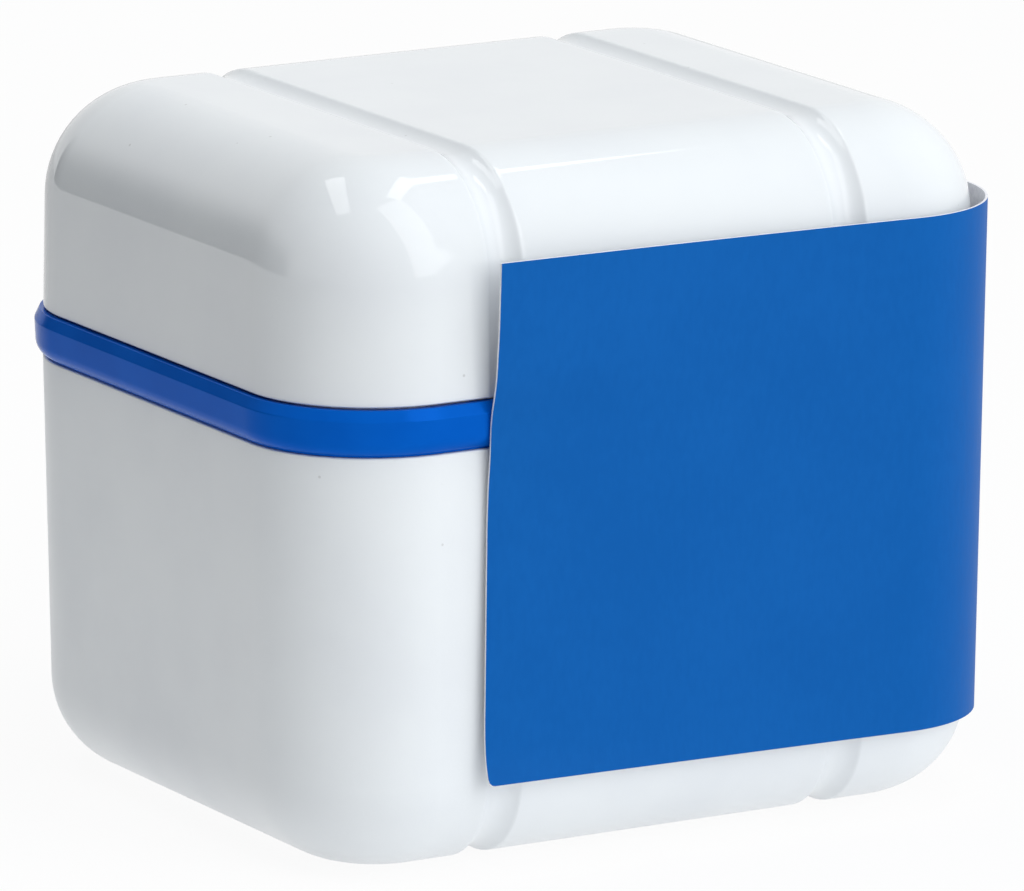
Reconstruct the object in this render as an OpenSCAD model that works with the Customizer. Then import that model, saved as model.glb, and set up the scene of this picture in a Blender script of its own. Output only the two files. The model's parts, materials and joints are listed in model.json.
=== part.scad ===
// Denture case: a cup, a snap-on coloured rim with the hinge and the latch, a domed lid,
// a lift-out strainer basket with a bail handle, and a plain paper wrap round two faces.
// The origin is the middle of the underside, the front faces -Y and +Z is up.

/* [Case] */
// Width at the joint between base and lid, left to right
case_w = 91.1; // [88:0.1:95]
// Depth at the joint between base and lid, front to back
case_d = 76.3; // [74:0.1:80]
// Height of the closed case
case_h = 80; // [79:0.5:83]
// Radius of the four upright corners
corner_r = 15.2; // [15:0.1:17]
// Thickness of the moulded walls of base and lid
wall = 2.2; // [2.1:0.1:2.3]

/* [Base] */
// Outward lean of the base walls in degrees, for release from the mould
base_draft = 0.8; // [0.5:0.1:1]
// Radius of the edge round the underside
base_edge_r = 11; // [9:0.5:11.5]

/* [Lid] */
// Inward lean of the lid walls in degrees
lid_draft = 1; // [0.5:0.1:1.2]
// Radius of the edge round the top
lid_edge_r = 12.7; // [11.5:0.1:12.7]
// Height of the lid's lower edge above the table
lid_edge_z = 53.25; // [53.2:0.05:53.3]

/* [Grooves] */
// Distance of each scooped groove from the middle of the case
groove_x = 22; // [21:0.5:23]
// Width of a groove at the surface
groove_w = 4.4; // [4:0.1:5]
// Depth of a groove
groove_depth = 1.1; // [0.8:0.1:1.2]

/* [Coloured rim] */
// Height of the rim's lower edge above the table
rim_bottom = 48.7; // [48.4:0.1:48.8]
// Height of the rim's upper edge
rim_top = 54.5; // [54.4:0.1:54.6]
// How far the rim stands out from the walls
rim_proud = 0.9; // [0.8:0.05:1]

/* [Hinge] */
// Distance of the hinge axis behind the middle of the case
hinge_y = 41.5; // [41.4:0.1:41.6]
// Height of the hinge axis
hinge_z = 54; // [53.9:0.1:54.1]
// Outer radius of the knuckles
knuckle_r = 2.2; // [2:0.1:2.2]
// Radius of the steel pin
pin_r = 0.9; // [0.8:0.05:1]

/* [Latch] */
// Width of the push bar in the front of the rim
button_w = 16; // [14:1:17]
// Height of the push bar
button_h = 2.8; // [2.6:0.1:2.8]
// Gap round the push bar in the rim
button_gap = 0.12; // [0.1:0.01:0.15]

/* [Strainer basket] */
// Height of the basket's underside above the table
basket_z = 14; // [12:0.5:16]
// Thickness of the basket walls
basket_wall = 1.4; // [1.2:0.1:1.5]
// Width of a drain slot
slot_w = 3; // [2.5:0.5:3.5]
// Length of the bail handle from its pivot to its cross bar
handle_reach = 24; // [20:1:25]

/* [Paper wrap] */
// Height of the paper strip
wrap_h = 59.4; // [55:0.1:60]
// Height of its lower edge above the table
wrap_bottom = 10.4; // [10:0.1:12]
// Distance of its free end left of the middle, across the front
wrap_left = 24.4; // [20:0.1:25]
// Where it ends on the right-hand side, behind the middle
wrap_back = 22; // [10:1:25]
// Thickness of the paper
paper_t = 0.35; // [0.3:0.05:0.5]

/* [Hidden] */
round_fn = 96;
small_fn = 32;
over = 1;
white = [0.94, 0.95, 0.96];
blue = [0.03, 0.33, 0.72];
deep_blue = [0.07, 0.37, 0.69];
steel = [0.75, 0.76, 0.78];
// Axes of the upright corners: every wall, rim, lip and ledge is drawn from them
axis_x = case_w / 2 - corner_r;
axis_y = case_d / 2 - corner_r;
front_y = -case_d / 2;
// The lid's grooves bend a little wider than its edge, so that both don't end on one line
lid_groove_ease = 0.3;
// Section of the rim, as offsets from the outer wall and heights
seat_z = 51.5;
web_top = 53;
lip_top = 56.5;
lip_out = -2.6;
lip_in = -3.6;
leg_bottom = 46.3;
shelf_in = -6.2;
shelf_top = 48.7;
shelf_t = 1.2;
band_lean = 0.1;
snap_gap = 0.08;
lid_gap = 0.15;
lid_inset = 0.1;
roll_r = 2.5;
roll_z = 50.4;
bevel_z = 53.15;
// Lid details: its lower edge is stepped, so that a thin gap shows above the rim
rebate_t = 1.1;
rebate_top = 54.65;
seal_bottom = 56.6;
seal_top = 58;
shoulder_t = 1.1;
shoulder_h = 1.2;
seal_r = 0.5;
seal_slack = 0.1;
catch_w = 9.2;
catch_bite = 0.5;
catch_z = 54.5;
catch_root = 0.6;
catch_lead = 0.15;
// Latch: the push bar stands in the rim's face, its hook behind the lip
notch_gap = 0.6;
button_bottom = 49.4;
button_z = button_bottom + button_h / 2;
button_inset = 0.05;
button_front = front_y - rim_proud + button_inset;
button_t = 1.1;
dish_r = 22;
dish_depth = 0.15;
dish_margin = 3;
stem_w = 5;
stem_h = 1.3;
hook_w = 9.2;
hook_bottom = 50.1;
window_h = 2.9;
hook_top = 55.6;
hook_nose_z = 54.6;
hook_t = 1.05;
hook_gap = 0.1;
nose_gap = 0.15;
nose_chamfer = [0.5, 0.3];
spring_turns = 2;
spring_mean_r = 0.95;
spring_wire_r = 0.17;
spring_x = 5.9;
// Hinge, ends of each knuckle along the axis
rim_knuckles = [[-20, -13], [-3.5, 3.5], [13, 20]];
lid_knuckles = [[-12.8, -3.7], [3.7, 12.8]];
pin_end = 20;
pin_play = 0.06;
arm_bottom = 54.9;
foot_root = 0.35;
foot_tip = [1.8, 1];
// Basket
basket_top = 49.9;
flange_out = -5;
tub_out = -6.55;
basket_draft = 1.5;
basket_edge_r = 6;
pivot_z = 46.5;
trunnion_r = 1.2;
trunnion_play = 0.08;
boss_r = 1.8;
trunnion_len = 1.7;
bar = 1.6;
handle_t = 2.2;
handle_half = 36.9;
rest_y = 14;
rest_w = 4;
rest_h = 3.05;
rest_gap = 0.05;
rest_reach = 1;
rest_root = 1.2;
handle_round = 6;
tab_r = 12;
tab_sink = 8;
floor_slot_len = 12;
floor_pitch = [12.5, 17];
wall_slot_z = 32;
front_pitch = 12;
front_slot_len = 18;
side_pitch = 10;
side_slot_len = 14;
// Paper wrap
wrap_gap = 0.25;
wrap_lean = 1.3;
wrap_turn = 0.5;
dot_t = 0.7;
dot_r = 4;
dot_z = [22, 38];

// Half section of a drafted, round-edged cup, from the axis of an upright corner outwards.
module cup_section(r_top, h, edge_r, draft) {
    edge_x = r_top - (h - edge_r) * tan(draft) - edge_r / cos(draft);
    wall_start = [edge_x + edge_r * cos(draft), edge_r - edge_r * sin(draft)];
    polygon([[0, 0], [edge_x, 0], wall_start, [r_top, h], [0, h]]);
    intersection() {
        translate([edge_x, edge_r])
            circle(r = edge_r, $fn = round_fn);
        square([r_top, h]);
    }
}

// A section drawn from the corner axis outwards, carried round the four corners and walls.
module carried_round() {
    for (corner = [[1, 1, 0], [-1, 1, 90], [-1, -1, 180], [1, -1, 270]])
        translate([corner[0] * axis_x, corner[1] * axis_y, 0])
            rotate([0, 0, corner[2]])
                rotate_extrude(angle = 90, $fn = round_fn)
                    children();
    for (side = [[axis_x, axis_y, 0], [axis_y, axis_x, 90], [axis_x, axis_y, 180], [axis_y, axis_x, 270]])
        rotate([0, 0, side[2]])
            translate([side[0], side[1], 0])
                rotate([90, 0, 0])
                    linear_extrude(height = 2 * side[1])
                        children();
}

// A solid cup shape with its flat underside at z = 0.
module cup_solid(r_top, h, edge_r, draft) {
    carried_round()
        cup_section(r_top, h, edge_r, draft);
    translate([-axis_x, -axis_y, 0])
        cube([2 * axis_x, 2 * axis_y, h]);
}

// An open cup with an even wall.
module cup_shell(r_top, h, edge_r, draft, t) {
    difference() {
        cup_solid(r_top, h, edge_r, draft);
        translate([0, 0, t])
            cup_solid(r_top - t + over * tan(draft), h - t + over, edge_r - t, draft);
    }
}

// A round-nosed cutter that follows the outside of a cup wall, from under it up the wall.
module groove_cutter(r_top, h, edge_r, draft) {
    nose_r = (groove_w * groove_w / 4 + groove_depth * groove_depth) / (2 * groove_depth);
    stand_off = nose_r - groove_depth;
    edge_x = r_top - (h - edge_r) * tan(draft) - edge_r / cos(draft);
    translate([-axis_y, 0, -stand_off])
        rotate([0, 90, 0])
            cylinder(r = nose_r, h = axis_y + edge_x, $fn = round_fn);
    translate([edge_x, 0, edge_r])
        rotate([90, 0, 0])
            rotate([0, 0, -90])
                rotate_extrude(angle = 90 - draft, $fn = round_fn)
                    translate([edge_r + stand_off, 0])
                        circle(r = nose_r, $fn = round_fn);
    translate([edge_x, 0, edge_r])
        rotate([0, draft, 0])
            translate([edge_r + stand_off, 0, 0])
                cylinder(r = nose_r, h = h, $fn = round_fn);
}

// Two grooves over the cup, each running down the front and the back wall.
module grooves(r_top, h, edge_r, draft) {
    for (turn = [-90, 90])
        for (x = [-groove_x, groove_x])
            translate([x, 0, 0])
                rotate([0, 0, turn])
                    translate([axis_y, 0, 0])
                        groove_cutter(r_top, h, edge_r, draft);
}

// The white cup, notched at the front for the push bar.
module base_cup() {
    color(white)
        difference() {
            cup_shell(corner_r, seat_z, base_edge_r, base_draft, wall);
            grooves(corner_r, seat_z, base_edge_r, base_draft);
            translate([-button_w / 2 - notch_gap, front_y - over, rim_bottom + notch_gap / 2])
                cube([button_w + 2 * notch_gap, wall + 2 * over, wall + seat_z]);
        }
}

// Section of the rim: the outer band, the web that seats on the cup, the inner leg, the
// upstanding lip that guides the lid, and the ledge that the basket hangs on.
module rim_section() {
    outer = corner_r + rim_proud;
    roll_x = outer - band_lean - roll_r;
    difference() {
        union() {
            polygon([[corner_r - wall, roll_z], [outer - band_lean, roll_z], [outer, bevel_z],
                     [corner_r + lid_gap, rim_top], [corner_r + lid_gap, web_top],
                     [corner_r + lip_out, web_top], [corner_r + lip_out, lip_top],
                     [corner_r + lip_in, lip_top], [corner_r + lip_in, shelf_top],
                     [corner_r + shelf_in, shelf_top], [corner_r + shelf_in, shelf_top - shelf_t],
                     [corner_r + lip_in, leg_bottom], [corner_r - wall, leg_bottom]]);
            intersection() {
                translate([roll_x, roll_z])
                    circle(r = roll_r, $fn = round_fn);
                translate([corner_r - wall, rim_bottom])
                    square([wall + rim_proud, roll_z - rim_bottom]);
            }
        }
        translate([corner_r - wall - snap_gap, leg_bottom - over])
            square([wall + 2 * snap_gap, seat_z - leg_bottom + over]);
    }
}

// A length of hinge knuckle, with its ends given along the axis.
module knuckle(ends) {
    translate([ends[0], hinge_y, hinge_z])
        rotate([0, 90, 0])
            cylinder(r = knuckle_r, h = ends[1] - ends[0], $fn = round_fn);
}

// A bore along the hinge axis, wide enough for every knuckle.
module hinge_bore(r) {
    translate([-pin_end - over, hinge_y, hinge_z])
        rotate([0, 90, 0])
            cylinder(r = r, h = 2 * (pin_end + over), $fn = round_fn);
}

// The web under a rim knuckle, drawn in a plane across the hinge and carried along it.
module knuckle_foot(ends) {
    rim_back = case_d / 2;
    translate([ends[0], 0, 0])
        rotate([90, 0, 90])
            linear_extrude(height = ends[1] - ends[0])
                polygon([[rim_back + foot_root, roll_z], [rim_back + rim_proud, roll_z],
                         [hinge_y + foot_tip[0], hinge_z - foot_tip[1]], [hinge_y, hinge_z],
                         [rim_back + foot_root, hinge_z]]);
}

// Outline of the push bar, round at both ends.
module bar_outline(grow) {
    r = button_h / 2 + grow;
    for (s = [-1, 1])
        translate([s * (button_w / 2 - button_h / 2), button_z])
            circle(r = r, $fn = round_fn);
    translate([-button_w / 2 + button_h / 2, button_z - r])
        square([button_w - button_h, 2 * r]);
}

// The blue rim: one moulding that snaps over the cup and carries hinge, lip and latch.
module rim_frame() {
    lip_y = front_y - lip_in;
    color(blue)
        difference() {
            union() {
                carried_round()
                    rim_section();
                for (ends = rim_knuckles) {
                    knuckle(ends);
                    knuckle_foot(ends);
                }
            }
            hinge_bore(pin_r);
            translate([0, front_y + wall + snap_gap, 0])
                rotate([90, 0, 0])
                    linear_extrude(height = wall + rim_proud + over)
                        bar_outline(button_gap);
            translate([-stem_w / 2 - button_gap, front_y + wall, button_z - stem_h / 2 - button_gap])
                cube([stem_w + 2 * button_gap, wall, stem_h + 2 * button_gap]);
            translate([-hook_w / 2 - notch_gap, front_y - lip_out - hook_gap, web_top])
                cube([hook_w + 2 * notch_gap, lip_y - front_y + lip_out + 2 * hook_gap, window_h]);
        }
}

// The steel pin through all the knuckles.
module hinge_pin() {
    color(steel)
        translate([-pin_end, hinge_y, hinge_z])
            rotate([0, 90, 0])
                cylinder(r = pin_r, h = 2 * pin_end, $fn = round_fn);
}

// The small wedge inside the front of the lid that the hook holds down.
module lid_catch() {
    inner_y = front_y + lid_inset + wall;
    translate([-catch_w / 2, 0, 0])
        rotate([90, 0, 90])
            linear_extrude(height = catch_w)
                polygon([[inner_y - catch_root, lid_edge_z + catch_lead],
                         [inner_y + catch_lead, lid_edge_z + catch_lead],
                         [inner_y + catch_bite, catch_z - catch_root],
                         [inner_y + catch_bite, catch_z], [inner_y - catch_root, catch_z]]);
}

// The white lid: a cup turned over, with a shoulder for the seal, the catch and two knuckles.
module lid_shell() {
    r = corner_r - lid_inset;
    h = case_h - lid_edge_z;
    back_wall = case_d / 2 - wall / 2;
    color(white)
        difference() {
            union() {
                difference() {
                    translate([0, 0, case_h])
                        mirror([0, 0, 1])
                            cup_shell(r, h, lid_edge_r, lid_draft, wall);
                    translate([0, 0, case_h])
                        mirror([0, 0, 1])
                            grooves(r, h, lid_edge_r + lid_groove_ease, lid_draft);
                    carried_round()
                        translate([r - rebate_t, lid_edge_z - over])
                            square([rebate_t + over, rebate_top - lid_edge_z + over]);
                }
                carried_round()
                    translate([corner_r - lid_inset - wall - shoulder_t, seal_top])
                        square([shoulder_t + wall / 2, shoulder_h]);
                lid_catch();
                for (ends = lid_knuckles) {
                    knuckle(ends);
                    translate([ends[0], back_wall, arm_bottom])
                        cube([ends[1] - ends[0], hinge_y - back_wall, hinge_z + knuckle_r - arm_bottom]);
                }
            }
            hinge_bore(pin_r + pin_play);
        }
}

// The soft seal under the lid's shoulder, with a rounded lip that meets the rim.
module lid_seal() {
    inner = corner_r - lid_inset - wall - shoulder_t;
    color([0.86, 0.89, 0.92])
        carried_round()
            union() {
                translate([inner, seal_bottom + seal_r])
                    square([shoulder_t - seal_slack, seal_top - seal_bottom - seal_r]);
                translate([inner + shoulder_t / 2, seal_bottom + seal_r])
                    circle(r = seal_r, $fn = small_fn);
            }
}

// The push bar, flush with the rim, and its stem.
module release_button() {
    stem_end = front_y - lip_in + hook_gap + hook_t;
    color(blue)
        difference() {
            union() {
                translate([0, button_front + button_t, 0])
                    rotate([90, 0, 0])
                        linear_extrude(height = button_t)
                            bar_outline(0);
                translate([-stem_w / 2, button_front + button_t / 2, button_z - stem_h / 2])
                    cube([stem_w, stem_end - button_front - button_t / 2, stem_h]);
            }
            translate([0, button_front + dish_depth - dish_r, button_z])
                rotate([0, 90, 0])
                    cylinder(r = dish_r, h = button_w - 2 * dish_margin, center = true, $fn = 3 * round_fn);
        }
}

// The hook behind the rim, clipped on to the push bar's stem.
module latch_hook() {
    plate_y = front_y - lip_in + hook_gap;
    nose_y = front_y + lid_inset + wall + nose_gap;
    color(blue)
        difference() {
            translate([-hook_w / 2, 0, 0])
                rotate([90, 0, 90])
                    linear_extrude(height = hook_w)
                        polygon([[plate_y, hook_bottom], [plate_y + hook_t, hook_bottom],
                                 [plate_y + hook_t, hook_top], [nose_y + nose_chamfer[0], hook_top],
                                 [nose_y, hook_nose_z + nose_chamfer[1]], [nose_y, hook_nose_z],
                                 [plate_y, hook_nose_z]]);
            translate([-stem_w / 2, plate_y - over, button_z - stem_h / 2])
                cube([stem_w, hook_t + 2 * over, stem_h]);
        }
}

// Points of a coiled wire: rings of a small polygon along a helix, as a closed tube.
function coil_point(k, steps, length) =
    let (turn = 360 * spring_turns * k / steps)
    [spring_mean_r * cos(turn), spring_mean_r * sin(turn),
     spring_wire_r + (length - 2 * spring_wire_r) * k / steps];
function wire_ring(k, steps, length, sides) =
    let (c = coil_point(k, steps, length), turn = 360 * spring_turns * k / steps)
    [for (j = [0 : sides - 1])
        let (a = 360 * j / sides)
        c + spring_wire_r * [cos(a) * cos(turn), cos(a) * sin(turn), sin(a)]];

// One compression spring standing on z = 0.
module coil_spring(length) {
    steps = 32;
    sides = 6;
    rings = [for (k = [0 : steps]) each wire_ring(k, steps, length, sides)];
    walls = [for (k = [0 : steps - 1], j = [0 : sides - 1])
        let (a = k * sides + j, b = k * sides + (j + 1) % sides)
        each [[a, a + sides, b], [b, a + sides, b + sides]]];
    start = [for (j = [1 : sides - 2]) [0, j, j + 1]];
    last = steps * sides;
    end = [for (j = [1 : sides - 2]) [last, last + j + 1, last + j]];
    polyhedron(points = rings, faces = concat(start, walls, end));
}

// The pair of springs between the push bar and the rim's inner leg.
module button_springs() {
    color(steel)
        for (x = [-spring_x, spring_x])
            translate([x, button_front + button_t, button_z])
                rotate([-90, 0, 0])
                    coil_spring(front_y + wall + snap_gap - button_front - button_t);
}

// A straight slot with round ends, standing on z = 0 along x.
module slot_cutter(length, width, height) {
    straight = length - width;
    for (s = [-1, 1])
        translate([s * straight / 2, 0, 0])
            cylinder(d = width, h = height, $fn = small_fn);
    translate([-straight / 2, -width / 2, 0])
        cube([straight, width, height]);
}

// The drain slots in the basket's floor, front, back and sides.
module drain_slots() {
    for (i = [-2 : 2], j = [-1 : 1])
        translate([floor_pitch[0] * i, floor_pitch[1] * j, basket_z - over])
            rotate([0, 0, 90])
                slot_cutter(floor_slot_len, slot_w, basket_wall + 2 * over);
    for (i = [-2 : 2])
        translate([front_pitch * i, case_d / 2, wall_slot_z])
            rotate([90, 90, 0])
                slot_cutter(front_slot_len, slot_w, case_d);
    for (i = [-1.5 : 1.5])
        translate([-case_w / 2, side_pitch * i, wall_slot_z])
            rotate([90, 90, 90])
                slot_cutter(side_slot_len, slot_w, case_w);
}

// The blue strainer basket: a slotted tub whose flange hangs on the rim's ledge, under the hook.
module strainer_basket() {
    tub_r = corner_r + tub_out;
    color(blue)
        difference() {
            union() {
                translate([0, 0, basket_z])
                    cup_shell(tub_r, basket_top - basket_z, basket_edge_r, basket_draft, basket_wall);
                carried_round()
                    translate([tub_r - basket_wall / 2, shelf_top])
                        square([flange_out - tub_out + basket_wall / 2, basket_top - shelf_top]);
                for (turn = [0, 180])
                    rotate([0, 0, turn])
                        handle_rest();
            }
            drain_slots();
            translate([-case_w / 2, 0, pivot_z])
                rotate([0, 90, 0])
                    cylinder(r = trunnion_r + trunnion_play, h = case_w, $fn = round_fn);
        }
}

// Two small ledges inside one side wall that the folded handle lies on.
module handle_rest() {
    rest_z = pivot_z - handle_t / 2 - rest_gap;
    for (y = [-rest_y, rest_y])
        translate([0, y + rest_w / 2, 0])
            rotate([90, 0, 0])
                linear_extrude(height = rest_w)
                    polygon([[handle_half - rest_reach, rest_z], [handle_half + rest_root, rest_z],
                             [handle_half + rest_root, rest_z - rest_h]]);
}

// The bail handle, folded flat inside the basket's mouth, with a finger tab at its middle.
module basket_handle() {
    far_y = -handle_reach - bar;
    color(blue) {
        translate([0, 0, pivot_z - handle_t / 2])
            linear_extrude(height = handle_t) {
                difference() {
                    handle_outline(handle_half, far_y, handle_round);
                    handle_outline(handle_half - bar, far_y + bar, handle_round - bar);
                }
                intersection() {
                    translate([0, far_y + bar - tab_sink])
                        circle(r = tab_r, $fn = 2 * round_fn);
                    translate([-tab_r, far_y + bar / 2])
                        square([2 * tab_r, tab_r]);
                }
            }
        for (s = [-1, 1])
            translate([s * handle_half, 0, pivot_z])
                rotate([0, -90 * s, 0]) {
                    cylinder(r = boss_r, h = bar, $fn = round_fn);
                    translate([0, 0, -trunnion_len])
                        cylinder(r = trunnion_r, h = trunnion_len + bar / 2, $fn = round_fn);
                }
    }
}

// Plan of the handle's loop, open towards the back, with its two front corners round.
module handle_outline(half, front, r) {
    for (s = [-1, 1])
        translate([s * (half - r), front + r])
            circle(r = r, $fn = round_fn);
    translate([-half + r, front])
        square([2 * (half - r), -front]);
    translate([-half, front + r])
        square([2 * half, -front - r]);
}

// Plan of the paper strip: the front panel, the bend round the corner and the side panel.
module wrap_outline() {
    bend_r = corner_r + rim_proud + wrap_gap;
    translate([-wrap_left, -axis_y - bend_r - paper_t])
        square([wrap_left + axis_x, paper_t]);
    translate([axis_x + bend_r, -axis_y])
        square([paper_t, axis_y + wrap_back]);
    intersection() {
        translate([axis_x, -axis_y])
            difference() {
                circle(r = bend_r + paper_t, $fn = 2 * round_fn);
                circle(r = bend_r, $fn = 2 * round_fn);
            }
        translate([axis_x, -axis_y - 2 * bend_r])
            square(2 * bend_r);
    }
}

// The wrap leans a little: it rests against the proud rim and closes in lower down.
module leaning() {
    panel_y = -axis_y - corner_r - rim_proud - wrap_gap;
    translate([0, panel_y, seat_z])
        rotate([wrap_lean, wrap_turn, 0])
            translate([0, -panel_y, -seat_z])
                children();
}

// The plain blue paper strip.
module paper_wrap() {
    color(deep_blue)
        leaning()
            translate([0, 0, wrap_bottom])
                linear_extrude(height = wrap_h)
                    wrap_outline();
}

// The soft clear dots inside the strip that hold it to the cup.
module glue_dots() {
    inner = corner_r + rim_proud + wrap_gap;
    color([0.9, 0.92, 0.9])
        leaning()
            for (z = dot_z) {
                translate([0, -axis_y - inner, z])
                    rotate([-90, 0, 0])
                        cylinder(r = dot_r, h = dot_t, $fn = round_fn);
                translate([axis_x + inner, 0, z])
                    rotate([0, -90, 0])
                        cylinder(r = dot_r, h = dot_t, $fn = round_fn);
            }
}

base_cup();
rim_frame();
hinge_pin();
lid_shell();
lid_seal();
release_button();
latch_hook();
button_springs();
strainer_basket();
basket_handle();
paper_wrap();
glue_dots();
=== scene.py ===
# %% [markdown]
# # A denture case, dressed in Blender
# The real object is a small moulded box that stands on a table: a white cup, a coloured rim
# that snaps over it, a hinged glossy lid, a strainer basket inside and a plain blue paper wrap
# round two of its faces. The solid model is already made and packed, with its hinge, latch and
# slides. This script loads it, models again the pieces whose soft edges and thin sheets show,
# gives every piece a finish, and lights the whole for one picture.

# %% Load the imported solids
import json
import math

import bmesh
import bpy
from mathutils import Matrix, Vector

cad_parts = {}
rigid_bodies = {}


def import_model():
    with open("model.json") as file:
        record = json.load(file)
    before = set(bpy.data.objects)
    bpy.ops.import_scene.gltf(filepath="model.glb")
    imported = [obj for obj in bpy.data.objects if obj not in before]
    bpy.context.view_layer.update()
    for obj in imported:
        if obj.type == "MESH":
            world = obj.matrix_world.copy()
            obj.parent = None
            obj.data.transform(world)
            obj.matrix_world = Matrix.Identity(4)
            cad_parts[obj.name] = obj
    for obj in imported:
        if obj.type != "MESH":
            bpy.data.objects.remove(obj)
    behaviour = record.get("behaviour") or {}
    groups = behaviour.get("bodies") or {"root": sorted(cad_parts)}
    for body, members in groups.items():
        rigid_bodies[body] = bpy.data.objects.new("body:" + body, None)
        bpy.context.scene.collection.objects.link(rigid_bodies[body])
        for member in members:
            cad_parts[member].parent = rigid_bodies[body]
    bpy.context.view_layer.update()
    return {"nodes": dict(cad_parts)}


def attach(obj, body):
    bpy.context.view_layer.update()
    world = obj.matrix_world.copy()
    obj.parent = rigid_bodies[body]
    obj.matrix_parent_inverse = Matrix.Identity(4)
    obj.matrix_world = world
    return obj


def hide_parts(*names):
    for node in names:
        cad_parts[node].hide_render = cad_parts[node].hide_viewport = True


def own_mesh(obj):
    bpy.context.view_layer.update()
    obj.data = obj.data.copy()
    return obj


for old in list(bpy.data.objects):
    bpy.data.objects.remove(old)
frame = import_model()
print("solids:", ", ".join(sorted(frame["nodes"])))

# %% [markdown]
# ## Small helpers
# Modelling by hand means to select something and then to use a tool on it. In a script the
# selecting is done by place or by direction, so these few functions clear the selection, add
# a start shape, pick what lies in some place, and apply a modifier. Sizes are in millimetres,
# and MM turns them into Blender's metres.

# %% Helpers that select
MM = 0.001
NEAR = 1e-6


def only(piece, *others):
    bpy.ops.object.select_all(action="DESELECT")
    for each in (piece, *others):
        each.select_set(True)
    bpy.context.view_layer.objects.active = piece


def start(name, add, **settings):
    bpy.ops.object.select_all(action="DESELECT")
    add(**settings)
    piece = bpy.context.object
    piece.name = piece.data.name = name
    bpy.ops.object.transform_apply(location=True, rotation=True, scale=True)
    return piece


def edit(piece):
    only(piece)
    bpy.ops.object.mode_set(mode="EDIT")


def done():
    bpy.ops.object.mode_set(mode="OBJECT")


def pick(piece, kind, test):
    bpy.ops.mesh.select_mode(type=kind)
    bpy.ops.mesh.select_all(action="DESELECT")
    cage = bmesh.from_edit_mesh(piece.data)
    items = {"VERT": cage.verts, "EDGE": cage.edges, "FACE": cage.faces}[kind]
    chosen = [item for item in items if test(item)]
    for item in chosen:
        item.select_set(True)
    cage.select_flush_mode()
    bmesh.update_edit_mesh(piece.data)
    return len(chosen)


def pick_all():
    bpy.ops.mesh.select_all(action="SELECT")


# %% Helpers that shape
def pull(x, y, z):
    bpy.ops.mesh.extrude_region_move(TRANSFORM_OT_translate={"value": (x, y, z)})


def bevel(offset, segments, clamp=True):
    bpy.ops.mesh.bevel(
        offset=offset * MM, segments=segments, affect="EDGES", clamp_overlap=clamp
    )


def face_outwards():
    pick_all()
    bpy.ops.mesh.normals_make_consistent(inside=False)


def modify(piece, kind, **settings):
    only(piece)
    modifier = piece.modifiers.new(kind.title(), kind)
    for key, value in settings.items():
        setattr(modifier, key, value)
    bpy.ops.object.modifier_apply(modifier=modifier.name)


def join(piece, *others):
    only(piece, *others)
    bpy.ops.object.join()
    return piece


def settle(piece):
    only(piece)
    bpy.ops.object.transform_apply(location=True, rotation=True, scale=True)


# %% A helper that measures
def describe(piece):
    edit(piece)
    bpy.ops.mesh.select_mode(type="VERT")
    bpy.ops.mesh.select_all(action="DESELECT")
    bpy.ops.mesh.select_non_manifold()
    on_open_edges = sum(v.select for v in bmesh.from_edit_mesh(piece.data).verts)
    done()
    points = [v.co for v in piece.data.vertices]
    spans = [max(p[i] for p in points) - min(p[i] for p in points) for i in range(3)]
    size = [round(span / MM, 2) for span in spans]
    print(piece.name, "mm:", size, "faces:", len(piece.data.polygons), "open:", on_open_edges)


# %% [markdown]
# ## The sizes that the pieces share
# Lid, cup and rim are all drawn from the same four upright corner axes. The numbers are those
# of the solids, in millimetres, so that the dressed pieces lie exactly where the solids do.

# %% Shared sizes
CASE_W, CASE_D, CASE_H = 91.1, 76.3, 80.0
CORNER_R = 15.2
AXIS_X, AXIS_Y = CASE_W / 2 - CORNER_R, CASE_D / 2 - CORNER_R
WALL = 2.2
GROOVES, GROOVE_HALF, GROOVE_DEPTH = (-21.75, 22.6), 2.2, 0.95
HINGE_Y, HINGE_Z = 41.5, 54.0
SEAT_Z, LID_EDGE_Z = 51.5, 53.25
CUP_STEP_Z, LID_STEP_Z = 48.69, 54.31
print("corner axes at", AXIS_X, AXIS_Y)

# %% [markdown]
# ## A moulded skin
# The cup and the lid are the same kind of moulding: four walls with a slight lean so that they
# leave the mould, round upright corners, and a large round edge towards the closed end. A cube
# of the outer size gets its upright edges bevelled, then its closed end is made a little
# smaller, and then the edge round that end is bevelled too. The open end has no face. A second,
# smaller skin is later set inside the first and bridged to it, which gives an even wall.


# %% One skin of the cup or the lid
CORNER_STEPS, EDGE_STEPS = 24, 18


def skin(name, inset, open_z, closed_z, edge_r, draft):
    half_x, half_y = CASE_W / 2 - inset, CASE_D / 2 - inset
    rise = abs(closed_z - open_z)
    piece = start(
        name,
        bpy.ops.mesh.primitive_cube_add,
        size=1,
        location=(0, 0, (open_z + closed_z) / 2 * MM),
        scale=(2 * half_x * MM, 2 * half_y * MM, rise * MM),
    )
    edit(piece)
    pick(piece, "EDGE", lambda e: abs(e.verts[0].co.z - e.verts[1].co.z) > rise * MM / 2)
    bevel(CORNER_R - inset, CORNER_STEPS, clamp=False)
    at_end = lambda v: abs(v.co.z - closed_z * MM) < NEAR
    pick(piece, "VERT", at_end)
    lean = rise * math.tan(math.radians(draft))
    bpy.ops.transform.resize(
        value=(1 - lean / half_x, 1 - lean / half_y, 1),
        center_override=(0, 0, closed_z * MM),
        orient_type="GLOBAL",
    )
    pick(piece, "FACE", lambda f: abs(f.normal.z) > 0.9 and not at_end(f.verts[0]))
    bpy.ops.mesh.delete(type="FACE")
    pick(piece, "EDGE", lambda e: at_end(e.verts[0]) and at_end(e.verts[1]))
    bevel(edge_r, EDGE_STEPS, clamp=False)
    done()
    return piece


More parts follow.
